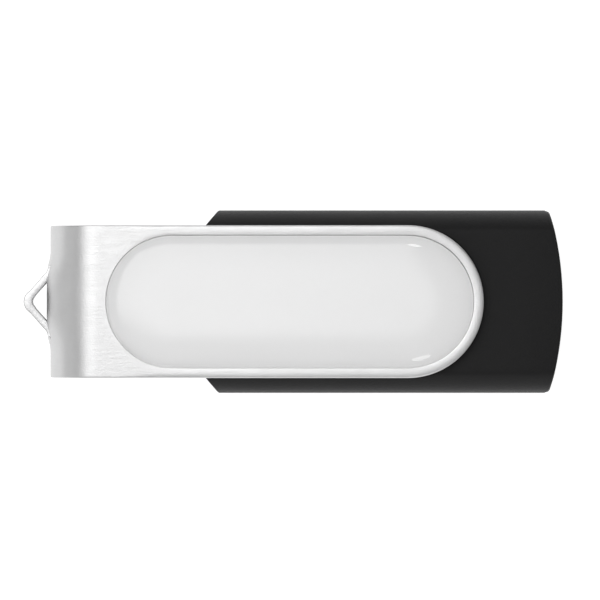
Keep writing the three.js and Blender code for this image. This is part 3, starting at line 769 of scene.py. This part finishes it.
def noise(made, scale, detail=3.0, roughness=0.6, stretch=(1, 1, 1)):
    """A noise in the object's own metres; scale is in cells per millimetre along each axis."""
    coordinates = node(made, "ShaderNodeTexCoord")
    mapping = node(made, "ShaderNodeMapping", Scale=[scale * s / MM for s in stretch])
    texture = node(made, "ShaderNodeTexNoise", Scale=1.0, Detail=detail, Roughness=roughness)
    join(made, coordinates.outputs["Object"], mapping.inputs["Vector"])
    join(made, mapping.outputs["Vector"], texture.inputs["Vector"])
    return texture.outputs["Fac"]


def vary_roughness(made, value, low, high):
    join_shader(made, map_range(made.node_tree, value, *NOISE_SPAN, low, high), "Roughness")


def vary_colour(made, value, dark, light):
    ramp = node(made, "ShaderNodeValToRGB")
    for element, position, colour in zip(ramp.color_ramp.elements, NOISE_SPAN, (dark, light)):
        element.position = position
        element.color = (*colour, 1)
    join(made, value, ramp.inputs["Fac"])
    join_shader(made, ramp.outputs["Color"], "Base Color")


def bump(made, value, height_mm, strength=1.0):
    uneven = node(made, "ShaderNodeBump", Strength=strength, Distance=height_mm * MM)
    join(made, value, uneven.inputs["Height"])
    join_shader(made, uneven.outputs["Normal"], "Normal")


def satin_aluminium():
    made = material("satin_aluminium", (0.54, 0.54, 0.542), 0.36, 1.0)
    brushing = noise(made, 5.0, stretch=(0.08, 1, 0.3))
    grain = noise(made, 6.0)
    vary_roughness(made, brushing, 0.32, 0.4)
    height = node(made, "ShaderNodeMath")
    height.operation = "MULTIPLY_ADD"
    height.inputs[1].default_value = 0.5
    join(made, brushing, height.inputs[0])
    join(made, grain, height.inputs[2])
    bump(made, height.outputs[0], 0.018)
    cloud = noise(made, 0.6, detail=4.0)
    vary_colour(made, cloud, (0.53, 0.53, 0.532), (0.55, 0.55, 0.552))
    return made


def white_film():
    made = material("white_film", (0.8, 0.8, 0.8), 0.5)
    paper = noise(made, 6.0, detail=4.0)
    vary_colour(made, paper, (0.79, 0.79, 0.792), (0.805, 0.805, 0.805))
    bump(made, paper, 0.002, 0.2)
    return made


# Painted shade on the resin where its surface faces up by each share, standing in for the darkening
# that refraction gives at the dome's edges. Where it is level (1) or upright (0) none is painted.
RESIN_PAINTED_SHADE = ((0.62, 0.94), (0.8, 0.81), (0.93, 0.87), (0.976, 0.93), (0.995, 0.965))


def clear_resin():
    """Clear resin with shade painted on by its surface's slope, that casts no shadow."""
    made = material("clear_resin", (1, 1, 1), 0.03, IOR=1.5, Transmission_Weight=1.0)
    ripple = noise(made, 0.08, detail=2.0, roughness=0.4)
    bump(made, ripple, 0.03, 0.3)
    surface = node(made, "ShaderNodeTexCoord")
    parts = node(made, "ShaderNodeSeparateXYZ")
    join(made, surface.outputs["Normal"], parts.inputs[0])
    # painted shade: the base colour darkens where the dome slopes, in place of the shading its refraction gives
    painted_shade = node(made, "ShaderNodeValToRGB")
    for position, shade in RESIN_PAINTED_SHADE:
        stop = painted_shade.color_ramp.elements.new(position)
        stop.color = (shade, shade, shade, 1)
    painted_shade.color_ramp.elements[0].color = (1, 1, 1, 1)
    join(made, parts.outputs["Z"], painted_shade.inputs[0])
    join_shader(made, painted_shade.outputs[0], "Base Color")
    path = node(made, "ShaderNodeLightPath")
    clear = node(made, "ShaderNodeBsdfTransparent")
    mix = node(made, "ShaderNodeMixShader")
    join(made, path.outputs["Is Shadow Ray"], mix.inputs[0])
    join(made, made.node_tree.nodes["Principled BSDF"].outputs[0], mix.inputs[1])
    join(made, clear.outputs[0], mix.inputs[2])
    join(made, mix.outputs[0], made.node_tree.nodes["Material Output"].inputs["Surface"])
    return made


def black_plastic():
    made = material("black_plastic", (0.0095, 0.0095, 0.0098), 0.45, Specular_IOR_Level=0.13)
    grain = noise(made, 7.0, roughness=0.55)
    vary_roughness(made, grain, 0.42, 0.52)
    bump(made, grain, 0.03)
    return made


def plated_steel():
    made = material("plated_steel", (0.72, 0.72, 0.71), 0.2, 1.0)
    rolled = noise(made, 6.0, stretch=(0.05, 1, 1))
    vary_roughness(made, rolled, 0.16, 0.28)
    bump(made, rolled, 0.002, 0.2)
    return made


def plain_finish(name, colour, roughness, metallic=0.0, scale=4.0, height=0.003):
    """A moulded, fired or plated finish with a little unevenness."""
    made = material(name, colour, roughness, metallic)
    uneven = noise(made, scale, roughness=0.55)
    vary_roughness(made, uneven, roughness * 0.85, min(1.0, roughness * 1.15))
    vary_colour(made, uneven, [c * 0.93 for c in colour], [min(1.0, c * 1.05) for c in colour])
    bump(made, uneven, height, 0.25)
    return made


looks = {
    "satin_aluminium": satin_aluminium(),
    "white_film": white_film(),
    "clear_resin": clear_resin(),
    "black_plastic": black_plastic(),
    "plated_steel": plated_steel(),
    "white_nylon": plain_finish("white_nylon", (0.8, 0.79, 0.75), 0.45),
    "gold_plate": plain_finish("gold_plate", (0.83, 0.6, 0.26), 0.24, 1.0, scale=9.0, height=0.001),
    "solder_mask": plain_finish("solder_mask", (0.03, 0.15, 0.07), 0.35, scale=1.5, height=0.004),
    "chip_epoxy": plain_finish("chip_epoxy", (0.018, 0.018, 0.02), 0.6, scale=12.0, height=0.006),
    "crystal_lid": plain_finish("crystal_lid", (0.6, 0.6, 0.61), 0.3, 1.0, scale=8.0, height=0.002),
    "capacitor_ceramic": plain_finish("capacitor_ceramic", (0.4, 0.27, 0.16), 0.5, scale=10.0),
    "resistor_body": plain_finish("resistor_body", (0.03, 0.03, 0.035), 0.4, scale=10.0),
}


def finish_piece(piece, body, slot, *nodes):
    piece.data.materials.clear()
    piece.data.materials.append(looks[slot])
    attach(piece, body)
    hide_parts(*nodes)


# ---------------------------------------------------------------- studio and camera

WALL_LIGHT = (0.8, 0.2)  # of the surroundings, low down, towards -Y and +Y
HORIZON_GLOW = 0.45  # added low down towards -X
GLOW_HEIGHT = 0.34  # how far up it fades out, 1 being overhead
MIDDLE = (0, 0, 0.005)  # where the lamps at the sides point
FLOOR_HALF = 2.0


def area_light(name, position, target, power, size, size_y=None):
    data = bpy.data.lights.new(name, "AREA")
    data.shape = "RECTANGLE" if size_y else "DISK"
    data.size = size
    if size_y:
        data.size_y = size_y
    data.energy = power
    lamp = bpy.data.objects.new(name, data)
    scene.collection.objects.link(lamp)
    lamp.location = position
    lamp.rotation_euler = (Vector(target) - Vector(position)).to_track_quat("-Z", "Y").to_euler()
    return lamp


def soften(lamp, margin):
    """Fades a panel light out over a share of its width at each edge."""
    lamp.data.use_nodes = True
    tree = lamp.data.node_tree
    surface = tree.nodes.new("ShaderNodeNewGeometry")
    parts = tree.nodes.new("ShaderNodeSeparateXYZ")
    product = tree.nodes.new("ShaderNodeMath")
    product.operation = "MULTIPLY"
    tree.links.new(surface.outputs["Parametric"], parts.inputs[0])
    for axis in (0, 1):
        folded = tree.nodes.new("ShaderNodeMath")
        folded.operation = "PINGPONG"
        folded.inputs[1].default_value = 0.5
        edge = tree.nodes.new("ShaderNodeMapRange")
        edge.interpolation_type = "SMOOTHSTEP"
        edge.inputs["From Max"].default_value = margin
        tree.links.new(parts.outputs[axis], folded.inputs[0])
        tree.links.new(folded.outputs[0], edge.inputs["Value"])
        tree.links.new(edge.outputs["Result"], product.inputs[axis])
    tree.links.new(product.outputs[0], tree.nodes["Emission"].inputs["Strength"])


def combine(tree, operation, first, second):
    made = tree.nodes.new("ShaderNodeMath")
    made.operation = operation
    tree.links.new(first, made.inputs[0])
    tree.links.new(second, made.inputs[1])
    return made.outputs[0]


def surroundings():
    """A world that is lighter towards -Y, with a glow on the horizon towards -X."""
    world = bpy.data.worlds.new("studio")
    world.use_nodes = True
    tree = world.node_tree
    way = tree.nodes.new("ShaderNodeTexCoord")
    parts = tree.nodes.new("ShaderNodeSeparateXYZ")
    tree.links.new(way.outputs["Generated"], parts.inputs[0])
    x, y, z = parts.outputs
    lowness = map_range(tree, z, 0, 1, 1, 0)
    walls = map_range(tree, combine(tree, "MULTIPLY", lowness, y), -1, 1, *WALL_LIGHT)
    towards = map_range(tree, x, -1, 0, HORIZON_GLOW, 0)
    near_horizon = map_range(tree, z, 0, GLOW_HEIGHT, 1, 0)
    glow = combine(tree, "MULTIPLY", towards, near_horizon)
    background = tree.nodes["Background"]
    background.inputs["Color"].default_value = (1, 1, 1, 1)
    tree.links.new(combine(tree, "ADD", walls, glow), background.inputs["Strength"])
    scene.world = world


def lamps():
    overhead = area_light("overhead", (-0.115, 0.127, 0.36), (-0.115, 0.127, 0), 1.32, 0.39, 0.48)
    soften(overhead, 0.26)
    area_light("left_lamp", (0.062, 0.31, 0.4), MIDDLE, 0.055, 0.065)
    area_light("right_lamp", (0.1, -0.32, 0.38), MIDDLE, 0.11, 0.11)
    soften(area_light("low_fill", (0.0, -0.75, 0.22), MIDDLE, 1.6, 1.0, 0.3), 0.4)
    soften(area_light("side_fill", (-0.75, -0.1, 0.36), MIDDLE, 0.7, 0.9, 0.4), 0.4)


def pale_floor():
    corners = [(x * FLOOR_HALF, y * FLOOR_HALF, 0) for x, y in ((-1, -1), (1, -1), (1, 1), (-1, 1))]
    mesh = bpy.data.meshes.new("floor")
    mesh.from_pydata(corners, [], [(0, 1, 2, 3)])
    floor = bpy.data.objects.new("floor", mesh)
    scene.collection.objects.link(floor)
    pale = material("pale_floor", (0.5, 0.5, 0.5), 0.9, Specular_IOR_Level=0.1, Emission_Strength=0.8)
    pale.node_tree.nodes["Principled BSDF"].inputs["Emission Color"].default_value = (1, 1, 1, 1)
    speck = noise(pale, 0.2, detail=2.0, roughness=0.5)
    vary_colour(pale, speck, (0.5, 0.5, 0.5), (0.52, 0.52, 0.52))
    floor.data.materials.append(pale)


VIEW_WIDTH = 62.4  # mm across the picture at the view's level
VIEW_LEVEL = 2.5  # mm over the parting plane
VIEW_CENTRE = (-11.15, 0.17)  # mm from the swivel axis
CAMERA_HEIGHT = 800.0  # mm over the view's level


def camera():
    data = bpy.data.cameras.new("camera")
    data.sensor_width = 36.0
    data.lens = data.sensor_width * CAMERA_HEIGHT / VIEW_WIDTH
    data.clip_start = 0.01
    data.clip_end = 20.0
    made = bpy.data.objects.new("camera", data)
    scene.collection.objects.link(made)
    made.location = place((*VIEW_CENTRE, VIEW_LEVEL + CAMERA_HEIGHT))
    scene.camera = made


camera()
surroundings()
lamps()
pale_floor()
scene.view_settings.view_transform = "Standard"

finish_piece(cover_piece(), "cover", "satin_aluminium", "swivel_cover")
finish_piece(dome_piece(), "cover", "clear_resin", "resin_dome")
finish_piece(shell_piece("body_upper", True), "drive", "black_plastic", "upper_shell")
finish_piece(shell_piece("body_lower", False), "drive", "black_plastic", "lower_shell")
finish_piece(plug_piece(), "drive", "plated_steel", "plug_shell")

slots = {row["node"]: row["material_slot"] for row in frame["record"]["subparts"]}
for name, part in frame["nodes"].items():
    part.data.materials.clear()
    part.data.materials.append(looks[slots[name]])
bevels = {"plug_insulator": TONGUE_EDGE}
for signal in ("power", "data_minus", "data_plus", "ground"):
    bevels["contact_" + signal] = CONTACT_EDGE
for name, width in bevels.items():
    edges = frame["nodes"][name].modifiers.new("moulded_edges", "BEVEL")
    edges.width = width * MM
    edges.segments = 2
    edges.limit_method = "ANGLE"
